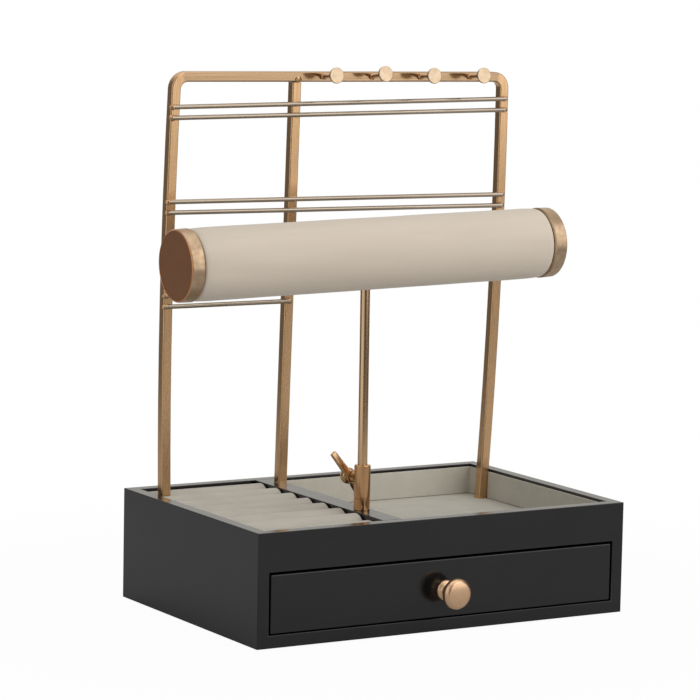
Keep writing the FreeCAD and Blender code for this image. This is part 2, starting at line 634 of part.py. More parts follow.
def bracelet_roll():
    """Core tube, hub plug, padded cover and two metal end caps, all along one axis."""
    start = "roll_shift - roll_length / 2"
    cover_from, cover_length = start + " + cap_length", "roll_length - 2 * cap_length"

    def laid(name, diameter, length, at):
        return along_roll(rod(name, diameter, length), at)

    def well(name, diameter, low, high):
        return upright(name, diameter, post_x, "post_back", "%s + (%s)" % (roll_z, low),
                       "%s + (%s)" % (roll_z, high))

    core = cut("core", laid("core_outside", "core_outer", cover_length, cover_from),
               laid("core_inside", "core_inner", "roll_length", start),
               well("core_hole", "post_hole", "-roll_diameter", "0"),
               well("core_access", "2 * spigot", "0", "roll_diameter"))
    node("roll_core_tube", core)
    cover = cut("cover", laid("cover_outside", "roll_diameter", cover_length, cover_from),
                laid("cover_inside", "core_outer", "roll_length", start),
                well("cover_hole", "post_hole", "-roll_diameter", "0"))
    node("roll_cover", cover)
    hub = cut("hub", laid("hub_plug", "core_inner", "hub_length", "-hub_length / 2"),
              well("hub_bore", "spigot + 2 * post_play", "-core_inner", "core_inner"),
              well("hub_counterbore", "post + 2 * post_play", "-core_inner", "-spigot_below"),
              well("hub_screw_well", "2 * spigot", "spigot_above", "core_inner"))
    node("roll_hub", hub)
    profile = [("0", "0"), ("cap_diameter / 2 - 0.9", "0"), ("cap_diameter / 2", "0.9"),
               ("cap_diameter / 2", "cap_length"), ("core_inner / 2", "cap_length"),
               ("core_inner / 2", "cap_length + cap_spigot"), ("core_inner / 2 - 1.5", "cap_length + cap_spigot"),
               ("core_inner / 2 - 1.5", "1.5"), ("0", "1.5")]
    cap_left = turned("cap_left_turning", profile)
    along_roll(cap_left, start)
    node("end_cap_left", cap_left)
    cap_right = turned("cap_right_turning", profile)
    along_roll(cap_right, start + " + roll_length", "roll_turn + 180", "90 + roll_tilt")
    node("end_cap_right", cap_right)


# ---------------------------------------------------------------- build, check and export

case_panels()
deck_and_divider()
ring_bed()
tray_linings()
drawer()
knob_and_screw()
glides_and_stops()
earring_frame()
earring_rods()
necklace_pegs()
fixing_screws()
sleeve()
wing_screw()
post_and_hub_screw()
bracelet_roll()
doc.recompute()

for obj in doc.Objects:
    if "Invalid" in obj.State or "Error" in obj.State:
        raise RuntimeError("%s (%s) failed: %s" % (obj.Name, obj.Label, obj.State))
for name, obj in nodes.items():
    if obj.Shape.isNull() or not obj.Shape.isValid() or not obj.Shape.Solids:
        raise RuntimeError("%s has no sound solid" % name)
    obj.Shape.exportStep("parts/%s.step" % name)
    print("%-24s %d solid(s)  %9.1f mm3" % (name, len(obj.Shape.Solids), obj.Shape.Volume))
print(len(nodes), "nodes")
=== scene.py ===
import math
import bpy
import bmesh
from mathutils import Matrix, Vector, noise


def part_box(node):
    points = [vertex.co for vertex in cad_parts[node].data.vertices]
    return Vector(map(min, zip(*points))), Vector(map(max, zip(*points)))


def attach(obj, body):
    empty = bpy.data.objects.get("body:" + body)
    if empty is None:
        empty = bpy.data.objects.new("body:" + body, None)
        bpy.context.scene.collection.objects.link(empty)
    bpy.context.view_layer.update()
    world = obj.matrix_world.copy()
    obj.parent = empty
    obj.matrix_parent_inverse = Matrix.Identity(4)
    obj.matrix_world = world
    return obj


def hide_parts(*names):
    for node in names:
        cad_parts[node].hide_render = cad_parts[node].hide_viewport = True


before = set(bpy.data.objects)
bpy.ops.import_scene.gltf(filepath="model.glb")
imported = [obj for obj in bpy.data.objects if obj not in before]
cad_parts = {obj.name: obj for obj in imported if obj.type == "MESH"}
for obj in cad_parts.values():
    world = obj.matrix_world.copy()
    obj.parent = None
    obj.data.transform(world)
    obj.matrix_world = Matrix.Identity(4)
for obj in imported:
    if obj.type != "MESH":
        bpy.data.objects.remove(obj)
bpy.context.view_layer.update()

# ---- Case -------------------------------------------------------------------------------------
# One lacquered box of fibreboard: a deep pocket in its top for the trays and one in its front for
# the drawer. The joints are filled and rubbed down, so the black lacquer runs over them unbroken.

# sizes are in millimetres, and mm makes them metres
mm = 0.001
half_width, half_depth, board = 150, 100, 9
base_z, rim_z, deck_z = 1.5, 81.5, 57.5
pocket_x, pocket_y = half_width - board, half_depth - board
bay_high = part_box("front_rail")[0].z
SAME_PLACE = 1e-6


def colour_node(material, shader, low, high, position, scale, detail=4.0, stretch=(1, 1, 1)):
    """Clouded colour for a finish: a noise on Object coordinates between two tones."""
    nodes, links = material.node_tree.nodes, material.node_tree.links
    place = nodes.new("ShaderNodeTexCoord")
    stretcher = nodes.new("ShaderNodeMapping")
    stretcher.inputs["Scale"].default_value = stretch
    cloud = nodes.new("ShaderNodeTexNoise")
    cloud.inputs["Scale"].default_value = scale
    cloud.inputs["Detail"].default_value = detail
    ramp = nodes.new("ShaderNodeValToRGB")
    ramp.color_ramp.elements[0].position, ramp.color_ramp.elements[1].position = position
    ramp.color_ramp.elements[0].color = (*low, 1)
    ramp.color_ramp.elements[1].color = (*high, 1)
    links.new(place.outputs["Object"], stretcher.inputs["Vector"])
    links.new(stretcher.outputs["Vector"], cloud.inputs["Vector"])
    links.new(cloud.outputs["Fac"], ramp.inputs["Fac"])
    links.new(ramp.outputs["Color"], shader.inputs["Base Color"])
    return cloud


def relief(material, shader, scale, height, strength, detail=3.0, stretch=(1, 1, 1)):
    """Fine relief for a finish: a bump from a noise on Object coordinates."""
    nodes, links = material.node_tree.nodes, material.node_tree.links
    place = nodes.new("ShaderNodeTexCoord")
    stretcher = nodes.new("ShaderNodeMapping")
    stretcher.inputs["Scale"].default_value = stretch
    grain = nodes.new("ShaderNodeTexNoise")
    grain.inputs["Scale"].default_value = scale
    grain.inputs["Detail"].default_value = detail
    bump = nodes.new("ShaderNodeBump")
    bump.inputs["Distance"].default_value = height
    bump.inputs["Strength"].default_value = strength
    links.new(place.outputs["Object"], stretcher.inputs["Vector"])
    links.new(stretcher.outputs["Vector"], grain.inputs["Vector"])
    links.new(grain.outputs["Fac"], bump.inputs["Height"])
    links.new(bump.outputs["Normal"], shader.inputs["Normal"])


def roughness_node(material, shader, source, low, high):
    """Uneven gloss: a finish's roughness between two values, from a noise it already has."""
    nodes, links = material.node_tree.nodes, material.node_tree.links
    spread = nodes.new("ShaderNodeMapRange")
    spread.inputs["From Min"].default_value, spread.inputs["From Max"].default_value = 0.3, 0.7
    spread.inputs["To Min"].default_value, spread.inputs["To Max"].default_value = low, high
    links.new(source.outputs["Fac"], spread.inputs["Value"])
    links.new(spread.outputs["Result"], shader.inputs["Roughness"])


def finish_called(name):
    """A new finish, and the shader node that its colour, gloss and relief go to."""
    material = bpy.data.materials.new(name)
    material.use_nodes = True
    return material, material.node_tree.nodes["Principled BSDF"]


def black_lacquer(name, low=(0.0030, 0.0030, 0.0034), high=(0.0050, 0.0050, 0.0055),
                  rough=(0.13, 0.18)):
    """Sprayed black lacquer, rubbed down and polished: slight orange peel, gloss a little uneven."""
    material, shader = finish_called(name)
    cloud = colour_node(material, shader, low, high, (0.35, 0.7), 22, 3)
    roughness_node(material, shader, cloud, *rough)
    relief(material, shader, 420, 0.00002, 0.12, 2)
    return material


def finished(bm, name, material, body, angle=32, weighted=True):
    """Turns a bmesh into a finished piece: closed seams, outward faces, smooth where it is round."""
    bmesh.ops.remove_doubles(bm, verts=bm.verts, dist=SAME_PLACE)
    bmesh.ops.recalc_face_normals(bm, faces=bm.faces)
    mesh = bpy.data.meshes.new(name)
    bm.to_mesh(mesh)
    bm.free()
    for polygon in mesh.polygons:
        polygon.use_smooth = True
    mesh.set_sharp_from_angle(angle=math.radians(angle))
    piece = bpy.data.objects.new(name, mesh)
    bpy.context.scene.collection.objects.link(piece)
    mesh.materials.append(material)
    if weighted:
        evening = piece.modifiers.new("evened_normals", "WEIGHTED_NORMAL")
        evening.keep_sharp = True
        evening.weight = 80
    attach(piece, body)
    return piece


def slab(low, high):
    """A block between two corners, in millimetres."""
    size = [(b - a) * mm for a, b in zip(low, high)]
    middle = [(a + b) / 2 * mm for a, b in zip(low, high)]
    bm = bmesh.new()
    bmesh.ops.create_cube(bm, size=1, matrix=Matrix.Translation(middle) @ Matrix.Diagonal((*size, 1)))
    return bm


def round_edges(bm, edges, radius, segments=3):
    """Rounds these edges by a radius in millimetres."""
    bmesh.ops.bevel(bm, geom=edges, offset=radius * mm, offset_type="OFFSET", segments=segments,
                    profile=0.5, affect="EDGES", material=-1, clamp_overlap=True)


def face_toward(bm, direction):
    """The outermost face that looks along a direction."""
    direction = Vector(direction)
    level = [f for f in bm.faces if f.normal.dot(direction) > 0.99]
    return max(level, key=lambda f: f.calc_center_median().dot(direction))


def inset(bm, face, border, depth):
    """A border left round a face, or the face pushed in, both in millimetres."""
    bmesh.ops.inset_region(bm, faces=[face], thickness=border * mm, depth=-depth * mm, use_even_offset=True)


bm = slab((-half_width, -half_depth, base_z), (half_width, half_depth, rim_z))
bm.normal_update()
top_face = face_toward(bm, (0, 0, 1))
inset(bm, top_face, board, 0)
inset(bm, top_face, 0, rim_z - deck_z)
bm.normal_update()
front_face = face_toward(bm, (0, -1, 0))
inset(bm, front_face, board, 0)
for vert in front_face.verts:
    if vert.co.z > rim_z / 2 * mm:
        vert.co.z = bay_high
inset(bm, front_face, 0, 2 * half_depth - board)


def on_corner(edge):
    """An edge where two outer faces of the box meet."""
    middle = (edge.verts[0].co + edge.verts[1].co) / 2
    distances = (abs(middle.x) - half_width * mm, abs(middle.y) - half_depth * mm,
                 min(abs(middle.z - rim_z * mm), abs(middle.z - base_z * mm)))
    return sum(abs(distance) < SAME_PLACE for distance in distances) >= 2


round_edges(bm, [e for e in bm.edges if on_corner(e)], 0.4)
# the edges round the two pockets, which are the only sharp ones left
mouths = [e for e in bm.edges if len(e.link_faces) == 2 and e.is_convex and e.calc_face_angle(0) > 1.2]
round_edges(bm, mouths, 0.5)
case_lacquer = black_lacquer("black_lacquer_case", rough=(0.20, 0.25))
case_shell = finished(bm, "lacquered_case", case_lacquer, "case")
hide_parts("side_panel_left", "side_panel_right", "back_panel", "front_rail", "bottom_panel",
            "deck_board")

# ---- Divider ----------------------------------------------------------------------------------
# The bar between the ring bed and the tray, as high as the rim. Its lacquer is left satin, not
# polished, because the frame's middle leg and the T-bar's sleeve stand on it.

divider_left, divider_right = -46.5, -30.5
bm = slab((divider_left, -pocket_y, deck_z), (divider_right, pocket_y, rim_z))
round_edges(bm, list(bm.edges), 0.45)
satin_lacquer = black_lacquer("satin_black_lacquer", (0.008, 0.008, 0.0088), (0.012, 0.012, 0.013),
                              (0.21, 0.26))
divider_bar = finished(bm, "divider_bar", satin_lacquer, "case")
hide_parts("divider")

# ---- Drawer -----------------------------------------------------------------------------------
# An inset front in the case's lacquer on a box of black-stained board, lined with grey felt. The
# front stands clear of the case by a narrow gap all round.

drawer_lacquer = black_lacquer("black_lacquer_drawer", (0.0045, 0.0045, 0.0048), (0.0065, 0.0065, 0.0068))
bm = slab(*(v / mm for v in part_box("drawer_front")))
round_edges(bm, list(bm.edges), 0.8)
drawer_face = finished(bm, "drawer_face", drawer_lacquer, "drawer")
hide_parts("drawer_front")


def stained_board(name):
    """Fibreboard with a thin black stain: faint fibres, matt, paler where it is sanded."""
    material, shader = finish_called(name)
    cloud = colour_node(material, shader, (0.012, 0.012, 0.012), (0.030, 0.029, 0.028), (0.3, 0.75), 60, 6,
                        stretch=(1, 6, 6))
    roughness_node(material, shader, cloud, 0.42, 0.60)
    relief(material, shader, 900, 0.00008, 0.5, 4, stretch=(1, 5, 5))
    return material


def coat(parts, *materials):
    """CAD pieces whose shape is right as it is get a better finish."""
    for part in parts:
        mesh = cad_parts[part].data
        mesh.materials.clear()
        for material in materials:
            mesh.materials.append(material)


coat(("drawer_side_left", "drawer_side_right", "drawer_back", "drawer_bottom"),
     stained_board("black_stained_board"))


def felt(name, low, high, pile=1500, sheen=0.35, depth=0.0002, streak=(1, 1, 1)):
    """Short-pile felt: cloudy colour, a soft nap that catches light at the edges."""
    material, shader = finish_called(name)
    cloud = colour_node(material, shader, low, high, (0.3, 0.72), 90, 8, stretch=streak)
    relief(material, shader, pile, depth, 0.6, 3)
    shader.inputs["Roughness"].default_value = 0.95
    shader.inputs["Specular IOR Level"].default_value = 0.15
    shader.inputs["Sheen Weight"].default_value = sheen
    shader.inputs["Sheen Roughness"].default_value = 0.45
    shader.inputs["Sheen Tint"].default_value = (0.9, 0.88, 0.84, 1)
    return material


coat(("drawer_floor_lining", "drawer_wall_linings"),
     felt("grey_felt_drawer", (0.34, 0.325, 0.29), (0.42, 0.40, 0.355)))

# ---- Base, glides and stops -------------------------------------------------------------------
# A sheet of black felt under the case, two felt glides that the drawer runs on and two rubber
# stops behind it, all glued.

coat(("base_felt_sheet", "drawer_glides"),
     felt("black_felt_base", (0.012, 0.012, 0.012), (0.024, 0.024, 0.024), sheen=0.15))

stop_rubber, shader = finish_called("black_rubber_stops")
cloud = colour_node(stop_rubber, shader, (0.014, 0.014, 0.014), (0.024, 0.024, 0.024), (0.3, 0.7), 200)
roughness_node(stop_rubber, shader, cloud, 0.6, 0.8)
relief(stop_rubber, shader, 2000, 0.00003, 0.4)
coat(("drawer_stops",), stop_rubber)

# ---- Tray linings -----------------------------------------------------------------------------
# Card covered with grey velvet: a floor and four walls that end under the rim. The walls carry a
# paler copy of the floor's velvet, which is painted light. The cloth is turned over their round top edges.

tray_velvet = felt("grey_velvet_tray", (0.42, 0.40, 0.34), (0.47, 0.45, 0.385), pile=1800, sheen=0.3)
# the walls' velvet is the floor's velvet made paler: painted light, the same cloth
painted_light_wall_velvet = felt("grey_velvet_walls_painted_light", (0.49, 0.465, 0.40), (0.54, 0.515, 0.445), pile=1800, sheen=0.3)
bed_z, wall_low, wall_high, wall_thick = 59.0, 59.2, 79.5, 1
inner_y = pocket_y - wall_thick
linings = {
    "tray_lining_front": ((divider_right, -pocket_y, wall_low), (pocket_x, -inner_y, wall_high)),
    "tray_lining_back": ((divider_right, inner_y, wall_low), (pocket_x, pocket_y, wall_high)),
    "tray_lining_left": ((divider_right, -inner_y, wall_low),
                         (divider_right + wall_thick, inner_y, wall_high)),
}
for part, (low, high) in linings.items():
    bm = slab(low, high)
    round_edges(bm, list(bm.edges), 0.45)
    piece = finished(bm, part.replace("tray_lining", "velvet_wall"), painted_light_wall_velvet, "case")
    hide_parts(part)


def add_into(target, bm):
    """Adds one bmesh to another."""
    holder = bpy.data.meshes.new("added")
    bm.to_mesh(holder)
    bm.free()
    target.from_mesh(holder)
    bpy.data.meshes.remove(holder)


# the right wall is cut through where the frame's leg stands against the case, close to its leaning sides
slot_front, slot_back, slot_lean = 64.8, 72.5, math.radians(2.1)
bm = slab((pocket_x - wall_thick, -inner_y, wall_low), (pocket_x, slot_front, wall_high))
short_wall = slab((pocket_x - wall_thick, slot_back, wall_low), (pocket_x, inner_y, wall_high))
for wall in (bm, short_wall):
    for vert in wall.verts:
        if (slot_front - 1) * mm < vert.co.y < (slot_back + 1) * mm:
            vert.co.y -= (vert.co.z - wall_low * mm) * math.tan(slot_lean)
add_into(bm, short_wall)
round_edges(bm, list(bm.edges), 0.45)
piece = finished(bm, "velvet_wall_right", painted_light_wall_velvet, "case")
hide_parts("tray_lining_right")

bm = slab((divider_right, -pocket_y, deck_z), (pocket_x, pocket_y, bed_z))
round_edges(bm, list(bm.edges), 0.3, 2)
piece = finished(bm, "velvet_floor", tray_velvet, "case")
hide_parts("tray_floor_lining")

# ---- Ring bed ---------------------------------------------------------------------------------
# Eight rolls of foam in pale velvet, pressed side by side on a velvet-covered card. Their ends are
# tucked in, their undersides lie flat, and the front one is pushed down below the rim.

ring_velvet = felt("pale_velvet_rings", (0.45, 0.42, 0.36), (0.51, 0.475, 0.41), pile=2000, sheen=0.3,
                   streak=(0.35, 1, 1))
ring_count, ring_pitch, ring_radius, slim_radius = 8, 22.75, 11.3, 11.1
ring_left, ring_right, half_place = -140.85, -47.9, 11.33
crest_z, front_crest_z = 81.3, 79.0
ring_middle = crest_z - ring_radius
roll_length, roll_middle_x = 96.1, -93.75


def padded_roll(number):
    """One foam roll in its cover, a little slimmer and longer than its place, ready to be blown up."""
    bm = bmesh.new()
    y = -pocket_y + ring_pitch * (number - 0.5)
    lay = (Matrix.Translation((roll_middle_x * mm, y * mm, ring_middle * mm)) @
           Matrix.Rotation(math.pi / 2, 4, "Y"))
    bmesh.ops.create_cone(bm, cap_ends=True, segments=48, radius1=slim_radius * mm,
                          radius2=slim_radius * mm, depth=roll_length * mm, matrix=lay)
    ends = [f for f in bm.faces if len(f.verts) > 10]
    round_edges(bm, [e for f in ends for e in f.edges], 0.7)
    return bm, y


def blown_up(piece):
    """The roll's skin as cloth with air pressure and no gravity, then applied."""
    shrink = piece.modifiers.new("remesh", "REMESH")
    shrink.mode = "VOXEL"
    shrink.voxel_size = 1.35 * mm
    bpy.context.view_layer.objects.active = piece
    bpy.ops.object.modifier_apply(modifier="remesh")
    cloth = piece.modifiers.new("cloth", "CLOTH")
    settings = cloth.settings
    settings.quality = 6
    settings.mass = 0.2
    settings.tension_stiffness = 12
    settings.compression_stiffness = 12
    settings.shear_stiffness = 4
    settings.bending_stiffness = 0.4
    settings.use_pressure = True
    settings.uniform_pressure_force = 4.0
    settings.effector_weights.gravity = 0
    cloth.collision_settings.use_collision = False
    for step in range(1, 15):
        bpy.context.scene.frame_set(step)
    bpy.ops.object.modifier_apply(modifier="cloth")
    bpy.context.scene.frame_set(1)


hair = 0.02
foot_inner_x, foot_y, foot_reach = -129.2, 68.2, 4.6
for number in range(1, ring_count + 1):
    bm, y = padded_roll(number)
    piece = finished(bm, "ring_roll_%d_velvet" % number, ring_velvet, "case", weighted=False)
    low = (ring_left * mm, (y - half_place) * mm, bed_z * mm)
    high = (ring_right * mm, (y + half_place) * mm, (crest_z if number > 1 else front_crest_z) * mm)
    blown_up(piece)
    # the roll is pressed flat by its card and at both ends, and is slightly uneven along its length
    for vert in piece.data.vertices:
        for axis in range(3):
            vert.co[axis] = min(max(vert.co[axis], low[axis]), high[axis])
        across = Vector((0, vert.co.y - y * mm, vert.co.z - ring_middle * mm))
        if across.length > SAME_PLACE:
            wave = noise.noise(Vector((vert.co.x * 45, number * 3.7, across.z * 60)))
            reach = min(across.length + 0.2 * mm * wave, ring_radius * mm + hair * mm)
            # only the skin, and not the middle of an end
            if across.length > 9.5 * mm:
                across = across.normalized() * max(reach, slim_radius * mm)
            vert.co.y, vert.co.z = y * mm + across.y, ring_middle * mm + across.z
        vert.co.z = min(max(vert.co.z, bed_z * mm + hair * mm), high[2])
    # the frame's left leg comes down between the last two rolls and presses them aside
    if number >= ring_count - 1:
        pressed_y = foot_y + (foot_reach if number == ring_count else -foot_reach)
        for vert in piece.data.vertices:
            if vert.co.x < foot_inner_x * mm and abs(vert.co.y - foot_y * mm) < foot_reach * mm:
                vert.co.y = pressed_y * mm
    for polygon in piece.data.polygons:
        polygon.use_smooth = True
    soft = piece.modifiers.new("soft", "SUBSURF")
    soft.levels = soft.render_levels = 1
    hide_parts("ring_roll_%d" % number)

coat(("ring_bed_card",), ring_velvet)

# ---- Earring frame ----------------------------------------------------------------------------
# Square steel tube with a brushed antique-brass plate, bent to a hoop, and a middle leg butted to
# its top bar. The plating is brushed along the tube and darker in the grain.


def brushed_brass(name, along, low, high, rough=(0.22, 0.32)):
    """Brushed, lacquered brass plate. The brush strokes run along x or z, or cloud it with "none"."""
    material, shader = finish_called(name)
    stretch = {"x": (0.01, 1, 1), "z": (1, 1, 0.01), "none": (1, 1, 1)}[along]
    grain, depth = (260, 0.04) if along == "none" else (1100, 0.1)
    cloud = colour_node(material, shader, low, high, (0.25, 0.7), grain, 4, stretch=stretch)
    roughness_node(material, shader, cloud, rough[1], rough[0])
    relief(material, shader, 2 * grain, 0.00001, depth, 2, stretch=stretch)
    shader.inputs["Metallic"].default_value = 1.0
    return material


brass_upright = brushed_brass("brushed_brass_upright", "z", (0.60, 0.37, 0.19), (0.71, 0.45, 0.245))
# the top bar's copy of the leg plating is darker: painted shade on the same plate
bar_brass_painted_shade = brushed_brass("brushed_brass_bar_painted_shade", "x", (0.36, 0.232, 0.127), (0.435, 0.29, 0.173),
                             (0.12, 0.20))
bar_low, bar_middle, bar_reach = 371, 1.4, 132


def smooth_coat(parts, *materials):
    """The same for turned and bent metal, whose round faces are shaded smooth."""
    coat(parts, *materials)
    for part in parts:
        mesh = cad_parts[part].data
        for polygon in mesh.polygons:
            polygon.use_smooth = True
        mesh.set_sharp_from_angle(angle=math.radians(35))


smooth_coat(("frame_hoop", "middle_leg"), brass_upright, bar_brass_painted_shade)
# the faces of the top bar get the darker copy of the plating, which is painted shade
for part in ("frame_hoop", "middle_leg"):
    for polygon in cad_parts[part].data.polygons:
        across_top = abs(polygon.center.x - bar_middle * mm) < bar_reach * mm
        if polygon.center.z > bar_low * mm and across_top:
            polygon.material_index = 1

# ---- Earring rods -----------------------------------------------------------------------------
# Six drawn rods, 3.4 mm thick, welded on the front of the legs in pairs. Each end is melted into a
# small bead, brushed over and plated with the frame.

brass_rod = brushed_brass("brushed_brass_rods", "x", (0.36, 0.295, 0.23), (0.42, 0.35, 0.275), (0.16, 0.24))
brass_weld = brushed_brass("brass_weld_beads", "none", (0.44, 0.245, 0.12), (0.68, 0.42, 0.23), (0.24, 0.40))
rod_radius, left_shift, right_shift, post_x = 1.7, 1.2, 2.4, -38.5


def bar_between(start, end, radius, segments=28, edge=0.35):
    """A round bar from one point to another, its ends slightly rounded, all in millimetres."""
    start, end = Vector(start) * mm, Vector(end) * mm
    run = end - start
    lay = Matrix.Translation((start + end) / 2) @ run.to_track_quat("Z", "X").to_matrix().to_4x4()
    bm = bmesh.new()
    bmesh.ops.create_cone(bm, cap_ends=True, segments=segments, radius1=radius * mm, radius2=radius * mm,
                          depth=run.length, matrix=lay)
    round_edges(bm, [e for f in bm.faces if len(f.verts) > 8 for e in f.edges], edge)
    return bm


def weld_bead(bm, at, size, seed):
    """A lump of weld, drawn out and uneven, in millimetres."""
    made = bmesh.ops.create_icosphere(bm, subdivisions=3, radius=1.0)
    for vert in made["verts"]:
        lump = 1 + 0.22 * noise.noise(vert.co * 1.7 + Vector((seed * 5.1, 0, 0)))
        vert.co = Vector((vert.co.x * size[0], vert.co.y * size[1], vert.co.z * size[2])) * lump * mm
        vert.co += Vector(at) * mm


beads = bmesh.new()
seed = 0
for tier in ("top", "middle", "low"):
    for row in ("upper", "lower"):
        part = "earring_rod_%s_%s" % (tier, row)
        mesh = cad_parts[part].data
        points = [v.co for v in mesh.vertices]
        left = [p for p in points if p.x < min(q.x for q in points) + 2 * mm]
        right = [p for p in points if p.x > max(q.x for q in points) - 2 * mm]
        start = sum(left, Vector()) / len(left) / mm
        end = sum(right, Vector()) / len(right) / mm
        start.x = min(p.x for p in points) / mm - left_shift
        end.x = max(p.x for p in points) / mm - right_shift
        piece = finished(bar_between(start, end, rod_radius), "rod_%s_%s" % (tier, row), brass_rod, "case")
        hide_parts(part)
        for at in (start + Vector((0.8, 0.3, 0)), end - Vector((0.8, -0.3, 0))):
            seed += 1
            weld_bead(beads, at, (2.6, 1.9, 2.1), seed)
        if tier != "low":
            seed += 1
            slope = (end - start) / (end.x - start.x)
            crossing = start + slope * (post_x - start.x)
            weld_bead(beads, crossing + Vector((0, 0.8, 0)), (2.4, 1.3, 1.8), seed)
bead_piece = finished(beads, "weld_beads", brass_weld, "case", weighted=False)

# ---- Necklace pegs ----------------------------------------------------------------------------
# Four short pins that rise out of the top bar, each with a flat turned head. The welds at their
# roots are left a little rough.

brass_face = brushed_brass("brushed_brass_faces", "none", (0.52, 0.385, 0.25), (0.62, 0.475, 0.33),
                           (0.26, 0.36))
peg_first, peg_pitch, peg_rises = -16.8, 41.5, (7 - 1.3, 7 + 2.1, 7 - 1.7, 7 - 1.0)
roots, pin_bm, head_bm, head_solid = (bmesh.new() for _ in range(4))
head_solid.from_mesh(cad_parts["peg_heads"].data)
bmesh.ops.remove_doubles(head_solid, verts=head_solid.verts, dist=SAME_PLACE)
for number, rise in enumerate(peg_rises):
    expected = (peg_first + peg_pitch * number) * mm
    ring = [v.co for v in head_solid.verts if abs(v.co.x - expected) < 9 * mm]
    middle = sum(ring, Vector()) / len(ring) / mm
    out = Vector((0, -math.cos(math.radians(rise)), math.sin(math.radians(rise))))
    add_into(head_bm, bar_between(middle - out * 1.0, middle + out * 1.0, 5.75, 48, 0.45))
    add_into(pin_bm, bar_between(middle - out * 19.6, middle - out * 0.9, 1.5, 24, 0.2))
    weld_bead(roots, middle - out * 18.0, (2.6, 1.3, 2.2), number + 30)
head_solid.free()
peg_heads = finished(head_bm, "peg_heads_turned", brass_face, "case")
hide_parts("peg_heads")
peg_pins = finished(pin_bm, "peg_pins_drawn", brass_weld, "case")
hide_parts("peg_pins")
# the weld between the middle leg and the top bar
weld_bead(roots, (-37.9, 53.3, 378.3), (2.9, 1.0, 2.7), 50)
root_piece = finished(roots, "peg_root_welds", brass_weld, "case", weighted=False)

# ---- Screws and plugs -------------------------------------------------------------------------
# Zinc-plated machine screws that hold the frame, the sleeve, the knob and the hub, and the
# threaded plugs in the feet. They show only under the deck and inside the drawer.

screw_zinc, shader = finish_called("zinc_screws")
cloud = colour_node(screw_zinc, shader, (0.40, 0.41, 0.43), (0.58, 0.58, 0.57), (0.3, 0.7), 700)
roughness_node(screw_zinc, shader, cloud, 0.25, 0.4)
shader.inputs["Metallic"].default_value = 1.0
smooth_coat(("leg_plugs", "knob_bolt", "short_fixing_screws", "long_fixing_screws", "hub_screw"), screw_zinc)

# ---- Knob -------------------------------------------------------------------------------------
# A turned mushroom knob in brushed brass, screwed on from inside the drawer.

brass_knob = brushed_brass("brushed_brass_knob", "none", (0.67, 0.435, 0.262), (0.73, 0.475, 0.29),
                           (0.28, 0.34))


def turned_bm(points, rounding=(), steps=72):
    """A shape turned about Z from (radius, height) points in millimetres.

    The rounding lists corners by index, highest last, each with the cut that rounds it."""
    bm = bmesh.new()
    verts = [bm.verts.new((r * mm, 0, z * mm)) for r, z in points]
    edges = [bm.edges.new((a, b)) for a, b in zip(verts, verts[1:])]
    for index, radius in rounding:
        bmesh.ops.bevel(bm, geom=[verts[index]], offset=radius * mm, offset_type="OFFSET", segments=4,
                        profile=0.5, affect="VERTICES", material=-1)
    bmesh.ops.spin(bm, geom=list(bm.verts) + list(bm.edges), cent=(0, 0, 0), axis=(0, 0, 1),
                   dvec=(0, 0, 0), angle=2 * math.pi, steps=steps, use_merge=True,
                   use_normal_flip=False, use_duplicate=False)
    bmesh.ops.remove_doubles(bm, verts=bm.verts, dist=SAME_PLACE)
    return bm


knob_z = 30.2
knob_points = [(0, 0), (7.25, 0), (7.25, 1.3), (6.8, 1.9), (5.3, 2.6), (4.6, 3.6), (4.4, 5.0), (4.6, 7.6),
               (5.6, 10.2), (7.6, 11.6), (9.4, 12.6), (10.5, 13.2), (10.9, 14.0), (10.9, 16.0), (10.3, 17.2),
               (9.4, 18.1), (9.0, 18.4), (8.4, 18.8), (5.5, 19.35), (2.5, 19.56), (0, 19.6)]
bm = turned_bm(knob_points, [(2, 0.3), (12, 0.3), (16, 0.2), (17, 0.3)])
bmesh.ops.transform(bm, matrix=Matrix.Translation((0, -half_depth * mm, knob_z * mm)) @
                    Matrix.Rotation(math.pi / 2, 4, "X"), verts=bm.verts)
knob = finished(bm, "knob_turned", brass_knob, "drawer", angle=50, weighted=False)
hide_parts("knob")

# ---- Sleeve -----------------------------------------------------------------------------------
# A turned brass sleeve on the divider, with a fine groove where its base is pressed in. A boss at
# its back takes the wing screw.

post_y = -48.5
brass_sleeve = brushed_brass("brushed_brass_sleeve", "z", (0.54, 0.30, 0.14), (0.65, 0.375, 0.185),
                             (0.11, 0.19))
sleeve_points = [(3.5, 8.5), (0, 8.5), (0, 0), (5.75, 0), (5.75, 8.45), (5.5, 8.65), (5.5, 8.95),
                 (5.75, 9.15), (5.75, 32.2), (3.5, 32.2), (3.5, 8.5)]
bm = turned_bm(sleeve_points, [(3, 0.3), (8, 0.7), (9, 0.25)], 80)
bmesh.ops.transform(bm, matrix=Matrix.Translation((post_x * mm, post_y * mm, rim_z * mm)), verts=bm.verts)
sleeve = finished(bm, "sleeve_turned", brass_sleeve, "case", angle=40)
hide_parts("sleeve")

wing_turn, wing_lean, wing_z = math.radians(10), math.radians(38), rim_z + 22.2
screw_lay = (Matrix.Translation((post_x * mm, post_y * mm, wing_z * mm)) @
             Matrix.Rotation(wing_turn, 4, "Z") @ Matrix.Rotation(-math.pi / 2, 4, "X"))
bm = turned_bm([(2.1, 5.2), (3.8, 5.2), (3.8, 9.8), (2.1, 9.8), (2.1, 5.2)], [(2, 0.35)], 48)
bmesh.ops.transform(bm, matrix=screw_lay, verts=bm.verts)
boss = finished(bm, "sleeve_boss", brass_sleeve, "case", angle=40)

# ---- Wing screw -------------------------------------------------------------------------------
# A cast wing screw: stepped collar, domed hub and two straight wings that thin out to round tips.
# Its thread goes through the boss and holds the post.

